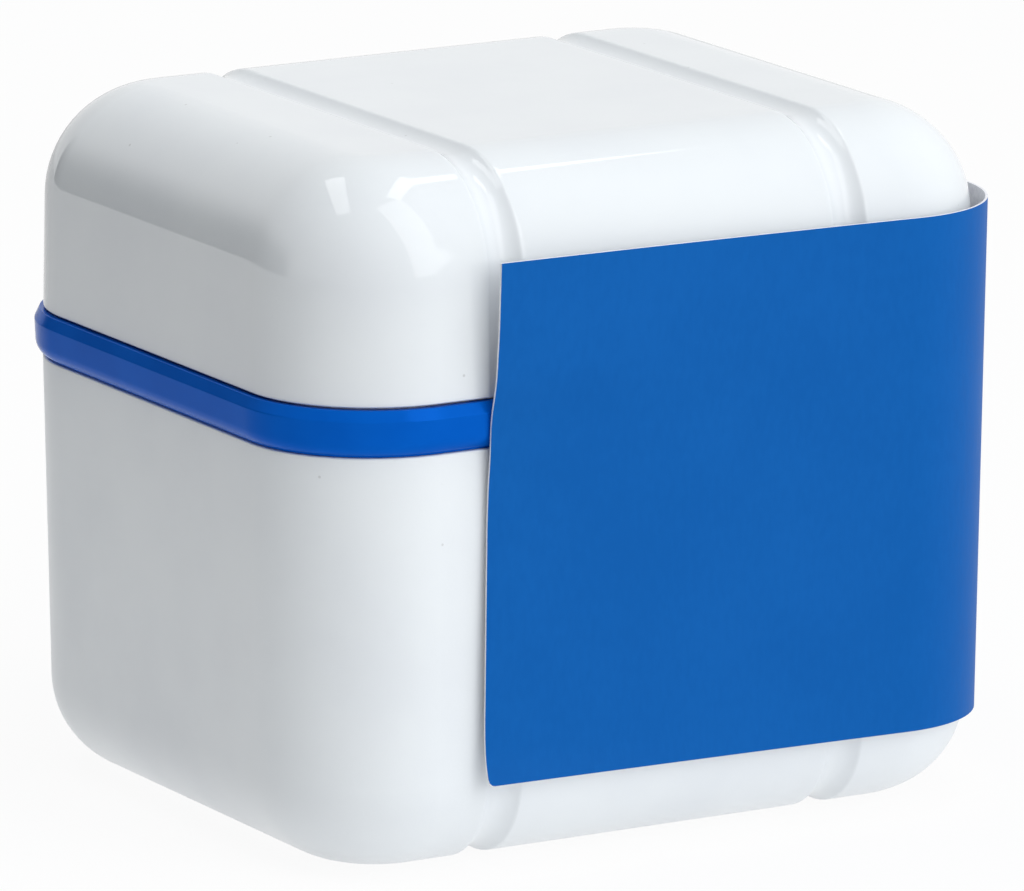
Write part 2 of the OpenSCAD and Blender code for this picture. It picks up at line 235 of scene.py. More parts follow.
# %% [markdown]
# ## The scooped grooves
# Two shallow grooves run over the lid and under the cup. On the real case they are scoops with
# slightly softened shoulders. The skin is bisected by upright planes across each groove, and
# every vertex then moves inwards along its normal by the depth of the scoop at its distance
# from the groove's middle. A Displace modifier that is weighted by a vertex group moves them
# all at once, so that no row of vertices tilts the next.

# %% Cut the planes of the grooves and sink them
GROOVE_CUTS = (0, 0.55, 1.05, 1.45, 1.75, 1.95, 2.1, 2.25, 2.45, 2.8)
SOFTNESS = 0.07
FULL_DEPTH = GROOVE_DEPTH + 0.1


def scoop(distance):
    raw = GROOVE_DEPTH * (1 - (distance / GROOVE_HALF) ** 2)
    return SOFTNESS * math.log1p(math.exp(raw / SOFTNESS))


def cut_grooves(piece):
    edit(piece)
    for middle in GROOVES:
        for across in GROOVE_CUTS:
            for way in (-1, 1) if across else (1,):
                bpy.ops.mesh.select_mode(type="FACE")
                pick_all()
                place = ((middle + way * across) * MM, 0, 0)
                bpy.ops.mesh.bisect(plane_co=place, plane_no=(1, 0, 0))
    done()


def sink_grooves(piece):
    group = piece.vertex_groups.new(name="groove depth")
    for v in piece.data.vertices:
        depth = scoop(min(abs(v.co.x / MM - middle) for middle in GROOVES))
        group.add([v.index], depth / FULL_DEPTH, "REPLACE")
    modify(
        piece, "DISPLACE", strength=-FULL_DEPTH * MM, mid_level=0, vertex_group=group.name
    )
    piece.vertex_groups.clear()


# %% [markdown]
# ## From two skins to one shell
# The inner skin is turned inside out and joined to the outer one. The two open edges are then
# bridged, which closes the wall. The edge is stepped: the outer half of the wall stops short and
# the inner half goes on as a tongue inside the rim, so that a fine dark gap shows all round.
# The inner skin's open edge is widened and extruded to make that tongue, and the outer corner
# of the step is rounded a little, as a moulded edge is.

# %% Close the wall between two skins
TONGUE, STEP_BEVEL = 1.2, 0.22


def shell(name, step_z, open_z, closed_z, inset, edge_r, draft):
    toward = 1 if closed_z > open_z else -1
    start_in = inset + abs(step_z - open_z) * math.tan(math.radians(draft))
    outer = skin(name, start_in, step_z, closed_z, edge_r, draft)
    cut_grooves(outer)
    sink_grooves(outer)
    inner_end = closed_z - toward * WALL
    inner = skin(name + "_inside", inset + WALL, open_z, inner_end, edge_r - WALL, draft)
    cut_grooves(inner)
    edit(inner)
    face_outwards()
    bpy.ops.mesh.flip_normals()
    pick(inner, "EDGE", lambda e: e.is_boundary)
    pull(0, 0, 0)
    wide, deep = CASE_W / 2 - inset - WALL, CASE_D / 2 - inset - WALL
    grow = WALL - TONGUE
    bpy.ops.transform.resize(
        value=((wide + grow) / wide, (deep + grow) / deep, 1),
        center_override=(0, 0, open_z * MM),
        orient_type="GLOBAL",
    )
    pull(0, 0, (step_z - open_z) * MM)
    done()
    join(outer, inner)
    edit(outer)
    pick(outer, "EDGE", lambda e: e.is_boundary)
    bpy.ops.mesh.bridge_edge_loops()
    outer_height = abs(step_z - closed_z) * MM - 10 * NEAR

    def on_outer_corner(e):
        heights = [abs(f.calc_center_median().z - closed_z * MM) for f in e.link_faces]
        return (
            all(abs(v.co.z - step_z * MM) < NEAR for v in e.verts)
            and any(abs(f.normal.z) < 0.5 for f in e.link_faces)
            and min(heights) < outer_height
        )

    pick(outer, "EDGE", on_outer_corner)
    bevel(STEP_BEVEL, 3)
    face_outwards()
    done()
    return outer


lid_body = shell("lid_body", LID_STEP_Z, LID_EDGE_Z, CASE_H, inset=0.1, edge_r=12.7, draft=1.0)
cup_body = shell("cup_body", CUP_STEP_Z, SEAT_Z, 0.0, inset=0.0, edge_r=11.0, draft=0.8)
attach(lid_body, "lid")
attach(cup_body, "case")
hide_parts("lid_shell")
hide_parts("base_cup")
describe(lid_body)
describe(cup_body)

# %% [markdown]
# ## A section carried round the case
# The rim, and the shoulder inside the lid, have one section all the way round. Such a piece is
# traced once, point by point, by extruding a single vertex in the plane of the section. The
# closed line is then spun a quarter turn about each corner axis and extruded along each
# straight side. Corners of the section can be rounded first, with a few points on an arc.


# %% Round the corners of a section
ARC_STEPS = 5


def softened(section):
    points = []
    for i, (s, z, r) in enumerate(section):
        here = Vector((s, z))
        if not r:
            points.append(here)
            continue
        before = (Vector(section[i - 1][:2]) - here).normalized()
        after = (Vector(section[(i + 1) % len(section)][:2]) - here).normalized()
        half = before.angle(after) / 2
        reach = r / math.tan(half)
        centre = here + (before + after).normalized() * (r / math.sin(half))
        first = here + before * reach - centre
        last = here + after * reach - centre
        turn = first.angle_signed(last)
        for k in range(ARC_STEPS + 1):
            points.append(centre + Matrix.Rotation(-turn * k / ARC_STEPS, 2) @ first)
    return points


# %% Trace a section and carry it round
SPIN_STEPS = 20
SIDES = ((1, -1, (-1, 0)), (-1, -1, (0, 1)), (-1, 1, (1, 0)), (1, 1, (0, -1)))


def single_point(name, place):
    piece = start(name, bpy.ops.mesh.primitive_plane_add, size=MM, location=place)
    edit(piece)
    bpy.ops.mesh.select_mode(type="VERT")
    pick_all()
    bpy.ops.mesh.merge(type="CENTER")
    return piece


def spin_corner(sx, sy, angle, steps):
    centre = (sx * AXIS_X * MM, sy * AXIS_Y * MM, 0)
    bpy.ops.mesh.spin(steps=steps, angle=angle, center=centre, axis=(0, 0, 1))


def carried_round(name, section, steps=SPIN_STEPS):
    outer = (AXIS_X + CORNER_R) * MM
    points = [Vector((outer + s * MM, -AXIS_Y * MM, z * MM)) for s, z in softened(section)]
    piece = single_point(name, points[0])
    for a, b in zip(points, points[1:]):
        pull(*(b - a))
    ends = (points[0], points[-1])
    pick(piece, "VERT", lambda v: any((v.co - end).length < NEAR / 10 for end in ends))
    bpy.ops.mesh.edge_face_add()
    pick_all()
    for sx, sy, (run_x, run_y) in SIDES:
        spin_corner(sx, sy, math.pi / 2, steps)
        pull(2 * run_x * AXIS_X * MM, 2 * run_y * AXIS_Y * MM, 0)
    pick_all()
    bpy.ops.mesh.remove_doubles(threshold=2 * NEAR)
    bpy.ops.mesh.normals_make_consistent(inside=False)
    done()
    return piece


# %% [markdown]
# ## The coloured rim
# The rim is one moulding. Outside it is a band with a sloping top, a nearly upright face and a
# rolled lower edge. Inside it has slots for the tongues of cup and lid, an upstanding lip that
# guides the lid, and a ledge that the basket hangs on. The small radii where the slope meets
# the face draw the thin bright line along the band, and the undercut below the roll leaves a
# dark line against the cup.

# %% The band, lip and ledge of the rim
# Each corner is (distance outwards from the case's wall, height, radius).
ROLL_R, ROLL_OUT, ROLL_Z = 2, -1.2, 50.6
ROLL = [
    (ROLL_OUT + ROLL_R * math.cos(turn), ROLL_Z - ROLL_R * math.sin(turn), 0)
    for turn in map(math.radians, range(0, 52, 3))
]
RIM_SECTION = (
    [(-1.12, 53.0, 0), (-1.12, 54.05, 0.1), (0.32, 54.12, 0.12), (0.9, 52.9, 0.4)]
    + ROLL
    + [(-0.35, 49.0, 0), (-0.35, 48.75, 0), (-1.12, 48.75, 0), (-1.12, 51.5, 0)]
    + [(-2.28, 51.5, 0), (-2.28, 46.3, 0.2), (-3.6, 46.3, 0.3)]
    + [(-6.2, 47.5, 0.25), (-6.2, 48.7, 0.3), (-3.6, 48.7, 0.3), (-3.6, 56.5, 0.3)]
    + [(-2.6, 56.5, 0.3), (-2.6, 53.0, 0.2)]
)
rim_band = carried_round("rim_band", RIM_SECTION)
describe(rim_band)

# %% [markdown]
# ## Blocks, tubes and cut-outs
# Small features of a moulding are blocks and tubes that grow out of it, and openings cut
# through it. A block is a cube with its edges bevelled. A tube is a cylinder whose two ends are
# inset and then bridged, so that the bore is open. An opening is cut with a Boolean modifier.


# %% Helpers for blocks, tubes and cut-outs
ROUND = 48


def block(name, low, high, edge=0):
    middle = [(a + b) / 2 * MM for a, b in zip(low, high)]
    spans = [(b - a) * MM for a, b in zip(low, high)]
    piece = start(name, bpy.ops.mesh.primitive_cube_add, size=1, location=middle, scale=spans)
    if edge:
        edit(piece)
        pick_all()
        bevel(edge, 3)
        done()
    return piece


def is_disc(face):
    return len(face.verts) > 10


def tube(name, ends, radius, bore):
    piece = start(
        name,
        bpy.ops.mesh.primitive_cylinder_add,
        vertices=ROUND,
        radius=radius * MM,
        depth=(ends[1] - ends[0]) * MM,
        location=((ends[0] + ends[1]) / 2 * MM, HINGE_Y * MM, HINGE_Z * MM),
        rotation=(0, math.pi / 2, 0),
    )
    edit(piece)
    is_end = lambda f: abs(f.normal.x) > 0.9
    pick(piece, "FACE", is_end)
    bpy.ops.mesh.inset(thickness=(radius - bore) * MM, use_individual=True)
    pick(piece, "FACE", is_disc)
    bpy.ops.mesh.bridge_edge_loops()
    pick(piece, "EDGE", lambda e: len({is_end(f) for f in e.link_faces}) == 2)
    bevel(0.15, 2)
    face_outwards()
    done()
    return piece


def stadium(name, length, height, z, front, back):
    low, high = (-length / 2, front, z - height / 2), (length / 2, back, z + height / 2)
    piece = block(name, low, high)
    edit(piece)
    pick(piece, "EDGE", lambda e: abs(e.verts[0].co.y - e.verts[1].co.y) > NEAR)
    bevel(height / 2, 12, clamp=False)
    pick_all()
    bpy.ops.mesh.remove_doubles(threshold=NEAR)
    done()
    return piece


def cut_out(piece, cutter):
    modify(piece, "BOOLEAN", operation="DIFFERENCE", object=cutter, solver="EXACT")
    bpy.data.objects.remove(cutter)


# %% [markdown]
# ## The rim's openings and its share of the hinge
# The front of the rim is pierced for the push bar and its stem, and the lip has a window where
# the hook reaches the lid. At the back three knuckles stand on short feet. Each foot is a block
# whose outer end is pulled up and out to meet its knuckle.

# %% Pierce the rim for the bar, its stem and the hook
BAR_W, BAR_H, BAR_Z, PRESS = 16.0, 2.8, 50.8, 0.9
BAR_FRONT, BAR_BACK, BEHIND_BAR = -39.0, -37.9, -35.87
AROUND_BAR = 0.24
STEM_HOLE = ((-2.62, -37, 50.03), (2.62, -33, 51.57))
HOOK_WINDOW = ((-5.2, -35.65, 53.001), (5.2, -34.45, 55.9))
CUP_NOTCH = ((-8.6, -40, 48.9), (8.6, -34, 55))
opening = stadium("cutter", BAR_W + AROUND_BAR, BAR_H + AROUND_BAR, BAR_Z, -42, BEHIND_BAR)
cut_out(rim_band, opening)
cut_out(rim_band, block("cutter", *STEM_HOLE))
cut_out(rim_band, block("cutter", *HOOK_WINDOW))
cut_out(cup_body, block("cutter", *CUP_NOTCH))
print("openings cut, rim faces:", len(rim_band.data.polygons))

# %% Add the rim's knuckles
KNUCKLE_R, PIN_R = 2.2, 0.9
FOOT_OUT, FOOT_UP, FOOT_TIP, FOOT_TAPER = 1.6, 0.8, (0, 40.6, 53.4), 0.62
RIM_KNUCKLES = ((-20, -13), (-3.5, 3.5), (13, 20))
rim_parts = []
for ends in RIM_KNUCKLES:
    foot = block("foot", (ends[0] + 0.2, 38.5, 50.5), (ends[1] - 0.2, 39.1, 53.2))
    edit(foot)
    pick(foot, "FACE", lambda f: f.normal.y > 0.9)
    pull(0, FOOT_OUT * MM, FOOT_UP * MM)
    tip = [c * MM for c in FOOT_TIP]
    bpy.ops.transform.resize(value=(1, 1, FOOT_TAPER), center_override=tip)
    pick_all()
    bevel(0.12, 2)
    done()
    rim_parts += [foot, tube("knuckle", ends, KNUCKLE_R, PIN_R)]
join(rim_band, *rim_parts)
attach(rim_band, "case")
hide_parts("rim_frame")
describe(rim_band)

# %% [markdown]
# ## Inside the lid
# A shoulder runs round inside the lid and holds the soft seal. In front there is a small wedge
# that the hook catches, and behind there are two arms with the lid's own knuckles.

# %% Shoulder, catch and knuckles of the lid
SHOULDER = [(-1.9, 58.0, 0), (-3.4, 58.0, 0.15), (-3.4, 59.2, 0.5), (-1.9, 59.6, 0)]
CATCH, CATCH_SLOPE = ((-4.6, -36.3, 53.45), (4.6, -35.35, 54.5)), 0.42
LID_KNUCKLES, PIN_PLAY = ((-12.8, -3.7), (3.7, 12.8)), 0.06
shoulder = carried_round("shoulder", SHOULDER, steps=14)
catch = block("catch", *CATCH)
edit(catch)
pick(catch, "VERT", lambda v: v.co.z < 54 * MM and v.co.y > -36 * MM)
bpy.ops.transform.translate(value=(0, -CATCH_SLOPE * MM, 0))
pick_all()
bevel(0.08, 2)
done()
lid_parts = [shoulder, catch]
for ends in LID_KNUCKLES:
    lid_parts.append(block("arm", (ends[0], 37.0, 54.9), (ends[1], 41.0, 56.2), 0.25))
    lid_parts.append(tube("knuckle", ends, KNUCKLE_R, PIN_R + PIN_PLAY))
join(lid_body, *lid_parts)
describe(lid_body)
describe(cup_body)

# %% [markdown]
# ## The push bar
# The bar lies flush in the rim. Its face has a shallow hollow for a finger tip, made by insetting
# the front face twice and pushing the middle in, and its outer edge is rounded.

# %% Model the push bar and its stem
HOLLOW_MARGINS, HOLLOW_DEPTH = (0.25, 0.35), 0.15
STEM = ((-2.5, -38.3, 50.15), (2.5, -33.4, 51.45))
push_bar = stadium("push_bar", BAR_W, BAR_H, BAR_Z, BAR_FRONT, BAR_BACK)
edit(push_bar)
pick(push_bar, "EDGE", lambda e: max(v.co.y for v in e.verts) < (BAR_FRONT + 0.1) * MM)
bevel(0.2, 3)
pick(push_bar, "FACE", lambda f: f.normal.y < -0.99 and is_disc(f))
for margin in HOLLOW_MARGINS:
    bpy.ops.mesh.inset(thickness=margin * MM)
bpy.ops.transform.translate(value=(0, HOLLOW_DEPTH * MM, 0))
done()
join(push_bar, block("stem", *STEM, edge=0.1))
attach(push_bar, "button")
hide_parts("release_button")
describe(push_bar)

# %% [markdown]
# ## The springs behind the bar
# Two short coils push the bar out again. A ring as wide as the wire is drawn beside the coil's
# axis, and a Screw modifier turns and lifts it, which leaves a round wire with two open ends to
# close.

# %% Model the springs
SPRING_X, SPRING_R, WIRE_R, SPRING_TURNS = 5.9, 0.95, 0.17, 2
SPRING_FRONT, SPRING_BACK = BAR_BACK, BEHIND_BAR
spring_length = SPRING_BACK - SPRING_FRONT
coils = []
for x in (-SPRING_X, SPRING_X):
    coil = start(
        "coil_springs",
        bpy.ops.mesh.primitive_circle_add,
        vertices=10,
        radius=WIRE_R * MM,
        location=(SPRING_R * MM, 0, 0),
        rotation=(math.pi / 2, 0, 0),
    )
    modify(
        coil,
        "SCREW",
        axis="Z",
        angle=2 * math.pi * SPRING_TURNS,
        screw_offset=(spring_length - 2 * WIRE_R) * MM,
        steps=24 * SPRING_TURNS,
    )
    edit(coil)
    pick_all()
    bpy.ops.mesh.fill_holes(sides=0)
    face_outwards()
    done()
    coil.location = (x * MM, (SPRING_FRONT + WIRE_R) * MM, BAR_Z * MM)
    coil.rotation_euler = (-math.pi / 2, 0, 0)
    settle(coil)
    coils.append(coil)
springs = join(*coils)
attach(springs, "case")
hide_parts("button_springs")
describe(springs)

# %% [markdown]
# ## The paper wrap
# The wrap is one strip of printed card, bent round the right-hand corner, that lies on the
# proud rim. It is drawn as a surface in the middle of the card: a line of points up its free
# end is extruded across the front, spun round the corner and extruded along the side. That end
# doesn't lie flat: below the rim it closes in towards the cup, above it stands off the lid, and
# its lower corner curls out. Two Displace modifiers do that, one for each way, weighted by how
# far a point is from the bend. The whole strip sits slightly turned, as such a wrap does.

# %% Trace the strip, extrude it and bend it
CARD_T = 0.28
WRAP_LOW, WRAP_HIGH, WRAP_LEFT, WRAP_BACK = 10.41, 69.62, -24.5, 22.0
WRAP_R = CORNER_R + 1.2 - CARD_T / 2
WRAP_LEAN, WRAP_TURN, CORNER_CUT = 0.0033, 0.936, 0.7
ROWS, FRONT_COLUMNS, BEND_COLUMNS, SIDE_COLUMNS = 60, 40, 24, 20
foot_y = -AXIS_Y - WRAP_R + (SEAT_Z - WRAP_LOW) * WRAP_LEAN
wrap = single_point("wrap", (WRAP_LEFT * MM, foot_y * MM, WRAP_LOW * MM))
rise = (WRAP_HIGH - WRAP_LOW) / ROWS * MM
for row in range(ROWS):
    pull(0, -rise * WRAP_LEAN, rise)
pick_all()
for column in range(FRONT_COLUMNS):
    pull((AXIS_X - WRAP_LEFT) / FRONT_COLUMNS * MM, 0, 0)
spin_corner(1, -1, -math.pi / 2, BEND_COLUMNS)
for column in range(SIDE_COLUMNS):
    pull(0, (AXIS_Y + WRAP_BACK) / SIDE_COLUMNS * MM, 0)
corner = Vector((WRAP_LEFT, foot_y, WRAP_LOW)) * MM
pick(wrap, "VERT", lambda v: (v.co - corner).length < 0.01 * MM)
bpy.ops.mesh.bevel(offset=CORNER_CUT * MM, segments=3, affect="VERTICES")
face_outwards()
done()
describe(wrap)

# %% [markdown]
# ## How the free end stands off
# The list gives, for a few heights, how far the free end stands off the plane of the front
# panel. It was read from the outline of that end in the real picture. Straight lines between
# those heights would crease the card, so each value is the mean over a few millimetres. The
# looseness falls from one at the free end to nothing at the bend.

# %% How far the free end stands off
STAND_OFF = (
    ((9.0, 1.45), (10.5, 0.95), (12.5, 0.15), (16, -0.24), (24, -0.3), (40, -0.45), (44, -0.32))
    + ((48, 0.06), (51.5, 0.1), (56, 1.17), (62, 1.62), (72, 1.86))
)
SMOOTHING = [step * 0.4 for step in range(-3, 4)]


def stand_off(z):
    total = 0.0
    for step in SMOOTHING:
        here = z + step
        for (z0, d0), (z1, d1) in zip(STAND_OFF, STAND_OFF[1:]):
            if z0 <= here <= z1:
                total += d0 + (d1 - d0) * (here - z0) / (z1 - z0)
    return total / len(SMOOTHING)


def looseness(x):
    return max(0.0, 1 - (x - WRAP_LEFT) / (AXIS_X - WRAP_LEFT)) ** 1.5


# %% Flare the free end, turn the strip and give the card its thickness
FULL_OFF = 2
for name, way in (("stands off", 1), ("closes in", -1)):
    group = wrap.vertex_groups.new(name=name)
    for v in wrap.data.vertices:
        off = max(0.0, way * stand_off(v.co.z / MM)) * looseness(v.co.x / MM)
        group.add([v.index], off / FULL_OFF, "REPLACE")
    modify(
        wrap,
        "DISPLACE",
        direction="Y",
        strength=-FULL_OFF * way * MM,
        mid_level=0,
        vertex_group=group.name,
    )
wrap.vertex_groups.clear()
turn_about = Vector((0, 0, SEAT_Z * MM))
TURNED = (
    Matrix.Translation(turn_about)
    @ Matrix.Rotation(math.radians(WRAP_TURN), 4, "Y")
    @ Matrix.Translation(-turn_about)
)
wrap.matrix_world = TURNED
settle(wrap)
for side in ("outside", "inside"):
    wrap.data.materials.append(bpy.data.materials.new(side))
modify(
    wrap,
    "SOLIDIFY",
    thickness=CARD_T * MM,
    offset=0,
    use_even_offset=True,
    material_offset=1,
    material_offset_rim=1,
)
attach(wrap, "wrap")
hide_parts("paper_wrap")
describe(wrap)

# %% [markdown]
# ## The glue dots
# Four soft dots hold the wrap to the cup, two behind its front and two behind its side. Each is
# a flat cylinder with a rounded edge that sits just in the card's inner face, so the dots follow
# the card's own lean and turn.

# %% Model the glue dots
DOT_R, DOT_T, DOT_SUNK, DOT_HEIGHTS = 4.0, 0.7, 0.08, (22, 38)
reach = WRAP_R - CARD_T / 2 + DOT_SUNK - DOT_T / 2
FRONT_TURN, SIDE_TURN = (math.pi / 2, 0, 0), (0, math.pi / 2, 0)
dots = []
for z in DOT_HEIGHTS:
    lean = (SEAT_Z - z) * WRAP_LEAN - stand_off(z) * looseness(0)
    front_place, side_place = (0, -AXIS_Y - reach + lean, z), (AXIS_X + reach, 0, z)
    for place, turn in ((front_place, FRONT_TURN), (side_place, SIDE_TURN)):
        dot = start(
            "gel_dots",
            bpy.ops.mesh.primitive_cylinder_add,
            vertices=ROUND,
            radius=DOT_R * MM,
            depth=DOT_T * MM,
            location=[c * MM for c in place],
            rotation=turn,
        )
        edit(dot)
        pick(dot, "EDGE", lambda e: len({is_disc(f) for f in e.link_faces}) == 2)
        bevel(0.2, 3)
        done()
        dots.append(dot)
gel_dots = join(*dots)
gel_dots.matrix_world = TURNED
settle(gel_dots)
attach(gel_dots, "wrap")
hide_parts("glue_dots")
describe(gel_dots)

# %% [markdown]
# ## Writing finishes as expressions
# A finish is a small sum: a base colour, a little cloud of a second colour, a grain that makes
# the surface rough. A wrapped socket can be added to or multiplied by numbers and by other
# sockets, and each such step adds its own Math node. One method makes any other kind of node.


# %% A socket that can be calculated with
class Socket:
    def __init__(self, tree, link=None):
        self.tree, self.link = tree, link

    def node(self, kind, settings=None, inputs=None, output=0):
        made = self.tree.nodes.new(kind)
        for key, value in (settings or {}).items():
            setattr(made, key, value)
        for key, value in (inputs or {}).items():
            if isinstance(value, Socket):
                self.tree.links.new(value.link, made.inputs[key])
            else:
                made.inputs[key].default_value = value
        return Socket(self.tree, made.outputs[output] if made.outputs else None)

    def maths(self, operation, first, second):
        return self.node("ShaderNodeMath", {"operation": operation}, {0: first, 1: second})

    def __add__(self, other):
        return self.maths("ADD", self, other)

    def __sub__(self, other):
        return self.maths("SUBTRACT", self, other)

    def __rsub__(self, other):
        return self.maths("SUBTRACT", other, self)

    def __mul__(self, other):
        return self.maths("MULTIPLY", self, other)

    __radd__, __rmul__ = __add__, __mul__

    def between(self, low, high):
        return self.node(
            "ShaderNodeMapRange",
            {"clamp": True, "interpolation_type": "SMOOTHSTEP"},
            {"Value": self, "From Min": low, "From Max": high},
        )

    def blend(self, first, second):
        colours = {0: self, 6: first, 7: second}
        return self.node("ShaderNodeMix", {"data_type": "RGBA"}, colours, output=2)

    def stretched(self, x, y, z):
        return self.node("ShaderNodeMapping", {}, {"Vector": self, "Scale": (x, y, z)})

    def noise(self, size, detail=3.0):
        inputs = {"Vector": self, "Scale": 1 / (size * MM), "Detail": detail}
        return self.node("ShaderNodeTexNoise", {}, inputs)

    def specks(self, spacing):
        inputs = {"Vector": self, "Scale": 1 / (spacing * MM)}
        return self.node("ShaderNodeTexVoronoi", {}, inputs)


# %% Colours as on a screen, and a finish from a design
def rgb(*parts):
    linear = (((c / 255 + 0.055) / 1.055) ** 2.4 if c > 10 else c / 255 / 12.92 for c in parts)
    return (*linear, 1.0)


def finish(name, design, **constants):
    material = bpy.data.materials.new(name)
    material.use_nodes = True
    tree = material.node_tree
    shader = tree.nodes["Principled BSDF"]
    for key, value in constants.items():
        shader.inputs[key.replace("_", " ")].default_value = value
    place = Socket(tree).node("ShaderNodeTexCoord", output=3)
    for key, value in design(place).items():
        if key == "Bump":
            height, strength, distance = value
            inputs = {"Height": height, "Strength": strength, "Distance": distance * MM}
            key, value = "Normal", place.node("ShaderNodeBump", {}, inputs)
        if isinstance(value, Socket):
            tree.links.new(value.link, shader.inputs[key])
        else:
            shader.inputs[key].default_value = value
    return material


# %% [markdown]
# ## White plastic, polished and satin
# Lid and cup are the same white plastic from two moulds: the lid's is polished, so that it
# mirrors the lamps crisply, and the cup's is finely sparked, so that its highlights are soft.
# Both get very shallow waves, as walls sink while they cool, some duller smears where the case
# was handled, and a few grey specks. The cup's grain is a fine noise in the bump.


# %% Finishes of the lid and the cup
SPECK_GREY = rgb(150, 150, 150)


def polished(place):
    smear = place.noise(14, 4)
    speck = 1 - place.specks(6).between(0.02, 0.035)
    waves = place.noise(30, 1) + place.noise(1.6, 2) * 0.012
    white = smear.between(0.3, 0.8).blend(rgb(232, 236, 239), rgb(228, 232, 236))
    return {
        "Base Color": (speck * 0.35).blend(white, SPECK_GREY),
        "Roughness": smear.between(0.45, 0.75) * 0.03 + 0.02,
        "Bump": (waves, 0.25, 0.35),
    }


def sparked(place):
    smear = place.noise(18, 4)
    speck = 1 - place.specks(7).between(0.02, 0.032)
    grain = place.noise(0.35, 2) * 0.06 + place.noise(34, 1)
    white = smear.between(0.3, 0.8).blend(rgb(236, 240, 243), rgb(230, 234, 238))
    return {
        "Base Color": (speck * 0.3).blend(white, SPECK_GREY),
        "Roughness": smear.between(0.4, 0.8) * 0.06 + 0.3,
        "Bump": (grain, 0.3, 0.3),
    }


white_gloss = finish("polished_white", polished, IOR=1.62)
white_satin = finish("sparked_white", sparked, IOR=1.48)
print("whites:", white_gloss.name, white_satin.name)

# %% [markdown]
# ## Coloured and clear plastics
# Rim, push bar and hook are one strong blue, a little waxy. The basket is the same plastic in a
# thinner wall, so it is given a lighter tone and flow lines along its walls. The seal is a pale
# silicone, and the glue dots are a clear gel, which looks pale against the white card.


# %% Finishes of rim, basket, seal and glue
def waxy_blue(place):
    cloud = place.noise(9, 3)
    grain = place.noise(0.5, 2)
    return {
        "Base Color": cloud.between(0.3, 0.75).blend(rgb(0, 88, 190), rgb(2, 94, 198)),
        "Roughness": cloud.between(0.4, 0.8) * 0.06 + 0.17,
        "Bump": (grain * 0.5 + cloud, 0.2, 0.06),
    }


def basket_plastic(place):
    flow = place.stretched(1, 1, 0.15).noise(7, 3)
    grain = place.noise(0.6, 2)
    return {
        "Base Color": flow.between(0.3, 0.75).blend(rgb(8, 98, 198), rgb(18, 110, 208)),
        "Roughness": flow.between(0.4, 0.8) * 0.1 + 0.3,
        "Bump": (grain * 0.4 + flow, 0.25, 0.08),
    }


def silicone(place):
    cloud = place.noise(6, 3)
    return {
        "Base Color": cloud.between(0.3, 0.8).blend(rgb(214, 220, 226), rgb(203, 210, 218)),
        "Roughness": cloud.between(0.3, 0.8) * 0.12 + 0.42,
        "Bump": (place.noise(0.8, 2), 0.2, 0.04),
    }


def gel(place):
    cloud = place.noise(3, 3)
    return {
        "Base Color": cloud.between(0.3, 0.8).blend(rgb(226, 230, 226), rgb(214, 219, 214)),
        "Roughness": cloud * 0.2 + 0.15,
        "Bump": (cloud, 0.4, 0.1),
    }


rim_blue = finish("waxy_blue", waxy_blue, IOR=1.1, Metallic=0.2)
basket_blue = finish("basket_blue", basket_plastic, IOR=1.3)
seal_finish = finish("silicone", silicone, IOR=1.42)
glue_finish = finish("clear_gel", gel, IOR=1.45)
print("plastics:", rim_blue.name, basket_blue.name, seal_finish.name, glue_finish.name)

# %% [markdown]
# ## Steel and card
# The hinge pin and the springs are drawn wire, with fine lines along them. The card has a
# matt blue print on the outside, with a faint grain of fibres that also shows as a bump, and
# its inside and cut edges are the bare white board.


# %% Finishes of steel and card
def drawn_wire(place):
    lines = place.stretched(0.03, 1, 1).noise(0.35, 3)
    return {
        "Base Color": lines.between(0.3, 0.7).blend(rgb(196, 199, 204), rgb(170, 173, 178)),
        "Roughness": lines * 0.15 + 0.18,
        "Bump": (lines, 0.3, 0.02),
    }


def printed_card(place):
    fibres = place.stretched(1, 1, 0.4).noise(0.7, 4)
    cloud = place.noise(16, 2)
    ink = (fibres * 0.5 + cloud * 0.5).between(0.35, 0.7)
    return {
        "Base Color": ink.blend(rgb(7, 91, 170), rgb(11, 95, 175)),
        "Roughness": fibres * 0.12 + 0.42,
        "Bump": (fibres + cloud * 2.5, 0.25, 0.05),
    }


def bare_card(place):
    fibres = place.noise(0.5, 4)
    return {
        "Base Color": fibres.between(0.35, 0.7).blend(rgb(244, 244, 248), rgb(232, 232, 238)),
        "Roughness": fibres * 0.1 + 0.75,
        "Bump": (fibres, 0.4, 0.05),
    }


steel = finish("drawn_steel", drawn_wire, Metallic=1.0)
card_print = finish("printed_card", printed_card, IOR=1.15)
card_bare = finish("bare_card", bare_card, IOR=1.4)
print("steel and card:", steel.name, card_print.name, card_bare.name)

# %% [markdown]
# ## Which piece gets which finish
# Every modelled piece, and every solid that is still shown as it is, takes its finish here.

# %% Hand out the finishes
FINISHES = {
    "lid_body": ("white_gloss", white_gloss),
    "cup_body": ("white_satin", white_satin),
    "rim_band": ("rim_blue", rim_blue),
    "push_bar": ("rim_blue", rim_blue),
    "wrap": ("wrap_paper", card_print),
    "latch_hook": ("rim_blue", rim_blue),
    "hinge_pin": ("steel", steel),
    "coil_springs": ("steel", steel),
    "lid_seal": ("seal", seal_finish),
    "strainer_basket": ("basket_blue", basket_blue),
    "basket_handle": ("basket_blue", basket_blue),
    "gel_dots": ("glue", glue_finish),
}
for name, (slot, material) in FINISHES.items():
    piece = bpy.data.objects[name]
    if name in frame["nodes"]:
        for held in piece.material_slots:
            held.material = material
    else:
        if not piece.data.materials:
            piece.data.materials.append(None)
        piece.data.materials[0] = material
wrap.data.materials[1] = card_bare
print("finishes:", len({m.name for _, m in FINISHES.values()}) + 1)
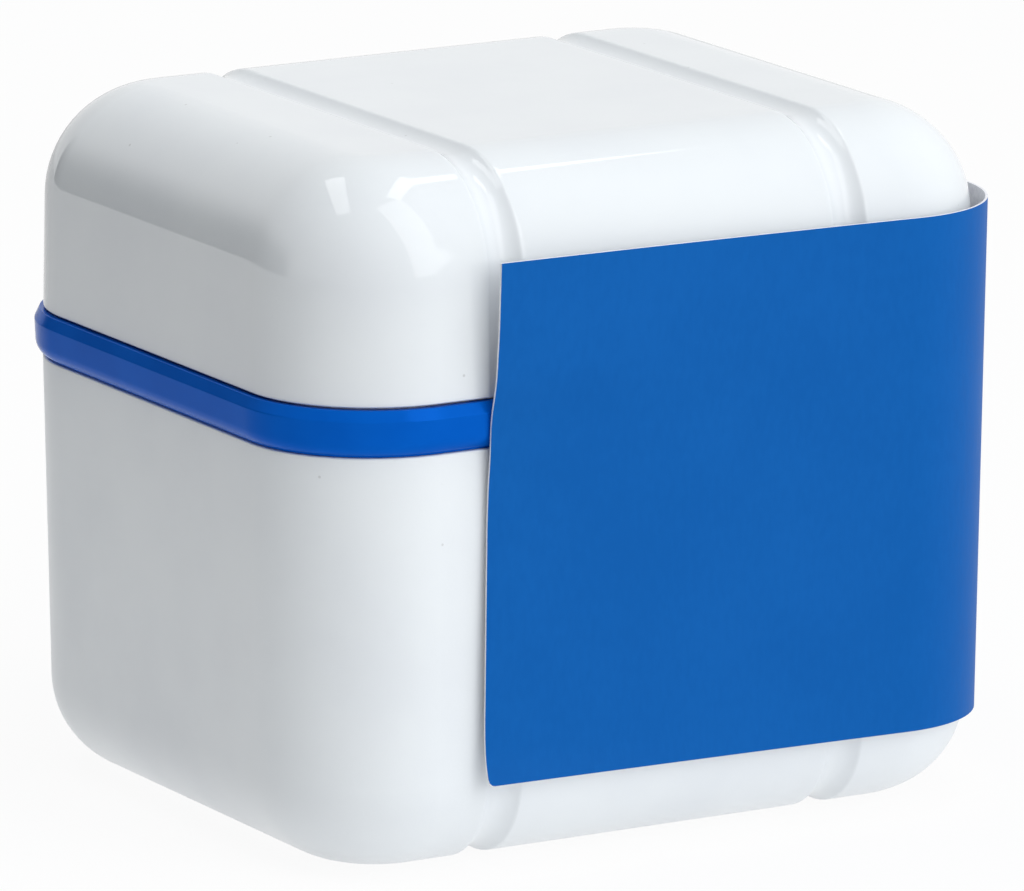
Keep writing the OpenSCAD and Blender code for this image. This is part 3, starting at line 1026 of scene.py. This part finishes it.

# %% [markdown]
# ## Smooth shading
# Round corners should shade as curves and flat walls as planes. The sharp edges are found by
# angle, and weighted normals let each large flat face keep its own direction.

# %% Shade the modelled pieces
SHARP_FROM = math.radians(40)
for piece in (lid_body, cup_body, rim_band, push_bar, springs, wrap, gel_dots):
    only(piece)
    bpy.ops.object.shade_smooth_by_angle(angle=SHARP_FROM)
    modify(piece, "WEIGHTED_NORMAL", keep_sharp=True, weight=50)
    print(piece.name, "sharp edges:", sum(e.use_edge_sharp for e in piece.data.edges))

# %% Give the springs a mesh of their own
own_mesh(springs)
print("a pressed spring keeps", round((spring_length - PRESS) / spring_length, 3))

# %% [markdown]
# ## Floor and background
# The picture has a plain white ground. The floor is a pale sheet that stays white for the
# camera and in reflections and still takes a faint shadow, and beyond it the world does the
# same. The light that the world gives to surfaces comes from above and from the front right.
# Behind and to the left the floor sends back less of it, and a card that is dark at its foot
# stands there: the lid's glossy left face mirrors it as a soft dark band. The camera doesn't
# see that card, so it hides nothing in a view from that side.

# %% Helpers for the stage
WHITE = (1, 1, 1, 1)
CAMERA_RAY, GLOSSY_RAY, TRANSMISSION_RAY = 0, 3, 6
GENERATED, OBJECT_PLACE = 0, 3


def stage_material(name):
    material = bpy.data.materials.new(name)
    material.use_nodes = True
    material.node_tree.nodes.clear()
    return material, Socket(material.node_tree)


def direction(azimuth, elevation):
    a, e = math.radians(azimuth), math.radians(elevation)
    return Vector((math.sin(a) * math.cos(e), -math.cos(a) * math.cos(e), math.sin(e)))


def facing(base, place, azimuth, elevation):
    sides = {0: place, 1: direction(azimuth, elevation)}
    return base.node("ShaderNodeVectorMath", {"operation": "DOT_PRODUCT"}, sides, output=1)


def ray(base, kind):
    return base.node("ShaderNodeLightPath", output=kind)


def seen_directly(base):
    rays = ray(base, CAMERA_RAY) + ray(base, GLOSSY_RAY) + ray(base, TRANSMISSION_RAY)
    return rays.maths("MINIMUM", rays, 1.0)


# %% The floor
# The floor also glows faintly for every ray, so it lights the case from below like a light table.
FLOOR_SIZE, PAPER, ALWAYS_LIT, LIT_WHEN_SEEN = 6, 0.92, 0.38, 0.54
DIM_TURN, DIM_FROM, DIM_TO, DIM_BY, DIM_IN_MIRROR = -135, 0.12, 0.28, 0.75, 0.35
FLOOR = start("floor", bpy.ops.mesh.primitive_plane_add, size=FLOOR_SIZE, location=(0, 0, 0))
ground, base = stage_material("pale_ground")
place = base.node("ShaderNodeTexCoord", output=OBJECT_PLACE)
beyond = facing(base, place, DIM_TURN, 0).between(DIM_FROM, DIM_TO)
unseen = 1 - ray(base, CAMERA_RAY) - ray(base, GLOSSY_RAY) * (1 - DIM_IN_MIRROR)
kept = 1 - beyond * unseen * DIM_BY
paper = base.node("ShaderNodeBsdfDiffuse", {}, {"Color": kept * PAPER})
lit = base.node("ShaderNodeEmission", {}, {"Color": WHITE, "Strength": kept})
glow = seen_directly(base) * LIT_WHEN_SEEN + ALWAYS_LIT
mixed = base.node("ShaderNodeMixShader", {}, {0: glow, 1: paper, 2: lit})
base.node("ShaderNodeOutputMaterial", {}, {"Surface": mixed})
FLOOR.data.materials.append(ground)
print("floor, metres across:", FLOOR_SIZE)

# %% The dark card
CARD_TURN, CARD_AWAY, CARD_W, CARD_H = math.radians(-131), 1.2, 1.7, 0.66
FADE_UP, FADE_ACROSS = (0.3, 1.0), (0.75, 1.0)
card = start("dark_card", bpy.ops.mesh.primitive_plane_add, size=1)
card.matrix_world = (
    Matrix.Rotation(CARD_TURN, 4, "Z")
    @ Matrix.Translation((0, -CARD_AWAY, CARD_H / 2))
    @ Matrix.Rotation(math.pi / 2, 4, "X")
    @ Matrix.Diagonal((CARD_W, CARD_H, 1, 1))
)
card.visible_camera = False
grey, base = stage_material("fading_grey")
place = base.node("ShaderNodeTexCoord", output=GENERATED)
across = base.node("ShaderNodeSeparateXYZ", {}, {"Vector": place}, output=0)
height = base.node("ShaderNodeSeparateXYZ", {}, {"Vector": place}, output=1)
shade = 1 - (1 - height.between(*FADE_UP)) * (1 - across.between(*FADE_ACROSS))
lit = base.node("ShaderNodeEmission", {}, {"Color": WHITE, "Strength": shade})
base.node("ShaderNodeOutputMaterial", {}, {"Surface": lit})
card.data.materials.append(grey)
print("dark card, metres:", CARD_W, "by", CARD_H)

# %% The world
OVERHEAD, OVERHEAD_EDGES, OVERHEAD_LIGHT = (0, 90), (0.74, 0.96), 1.6
FRONT, FRONT_EDGES, FRONT_LIGHT = (27, 14), (0.42, 0.95), 1.5
FAINT_BLUE = (0.96, 0.985, 1, 1)
world = bpy.data.worlds.new("studio")
bpy.context.scene.world = world
world.use_nodes = True
world.node_tree.nodes.clear()
air = Socket(world.node_tree)
toward = air.node("ShaderNodeTexCoord", output=GENERATED)
glow = facing(air, toward, *OVERHEAD).between(*OVERHEAD_EDGES) * OVERHEAD_LIGHT
glow = glow + facing(air, toward, *FRONT).between(*FRONT_EDGES) * FRONT_LIGHT
fill = air.node("ShaderNodeBackground", {}, {"Color": FAINT_BLUE, "Strength": glow})
plain = air.node("ShaderNodeBackground", {}, {"Color": WHITE, "Strength": 1.0})
sky = air.node("ShaderNodeMixShader", {}, {0: seen_directly(air), 1: fill, 2: plain})
air.node("ShaderNodeOutputWorld", {}, {"Surface": sky})
print("world nodes:", len(world.node_tree.nodes))

# %% [markdown]
# ## Lamps
# Most of the light comes from the bright side of the world. Three strip lamps stand for the
# windows of the tent that such boxes are photographed in. They add a little light, but above
# all the polished lid mirrors them as small crisp patches on its round corner and grooves.
# Each is given by the two directions between which it stretches and by its width in degrees.

# %% Strip lamps
CENTRE = Vector((0, 0, 0.04))


def strip(name, first, last, width, radiance, distance=1.0):
    ends = [direction(*first), direction(*last)]
    away = (ends[0] + ends[1]).normalized()
    along = (ends[1] - ends[0]).normalized()
    across = along.cross(away)
    long = 2 * distance * math.tan(ends[0].angle(ends[1]) / 2)
    wide = 2 * distance * math.tan(math.radians(width) / 2)
    light = bpy.data.lights.new(name, "AREA")
    light.shape, light.size, light.size_y = "RECTANGLE", wide, long
    light.energy = radiance * math.pi * wide * long
    lamp = bpy.data.objects.new(name, light)
    bpy.context.scene.collection.objects.link(lamp)
    turned = Matrix((across, along, away)).transposed().to_4x4()
    lamp.matrix_world = Matrix.Translation(CENTRE + away * distance) @ turned
    print(name, "watts", round(light.energy, 2), "metres", round(wide, 2), round(long, 2))


strip("window", (16, 3), (13, 76), width=24, radiance=1.1)
strip("skylight", (40, 77), (118, 60), width=9, radiance=1.8)
strip("top_slit", (-175, 58.5), (-75, 62), width=10, radiance=1.6)

# %% [markdown]
# ## Camera
# The view is about thirty degrees round to the left and thirteen degrees up, from a little over
# a metre, with a long lens. The numbers were fitted to the edges of the real picture.

# %% Camera
AZIMUTH, ELEVATION, DISTANCE = -29.907, 12.88, 1.262
SIDE_STEP, UP_STEP = -0.000677, 0.001248
SENSOR, FOCAL_PIXELS, PICTURE_WIDTH = 36, 11069, 1024
back, right = direction(AZIMUTH, ELEVATION), direction(AZIMUTH + 90, 0)
up = back.cross(right)
eye = CENTRE + back * DISTANCE - right * SIDE_STEP - up * UP_STEP
view = bpy.data.cameras.new("view")
view.sensor_width, view.lens = SENSOR, SENSOR * FOCAL_PIXELS / PICTURE_WIDTH
view.clip_start, view.clip_end = 0.05, 50
camera = bpy.data.objects.new("camera", view)
bpy.context.scene.collection.objects.link(camera)
turned = Matrix((right, up, back)).transposed().to_4x4()
camera.matrix_world = Matrix.Translation(eye) @ turned
bpy.context.scene.camera = camera
bpy.context.scene.view_settings.view_transform = "Standard"
print("camera at", [round(c, 4) for c in eye], "lens", round(view.lens, 1))
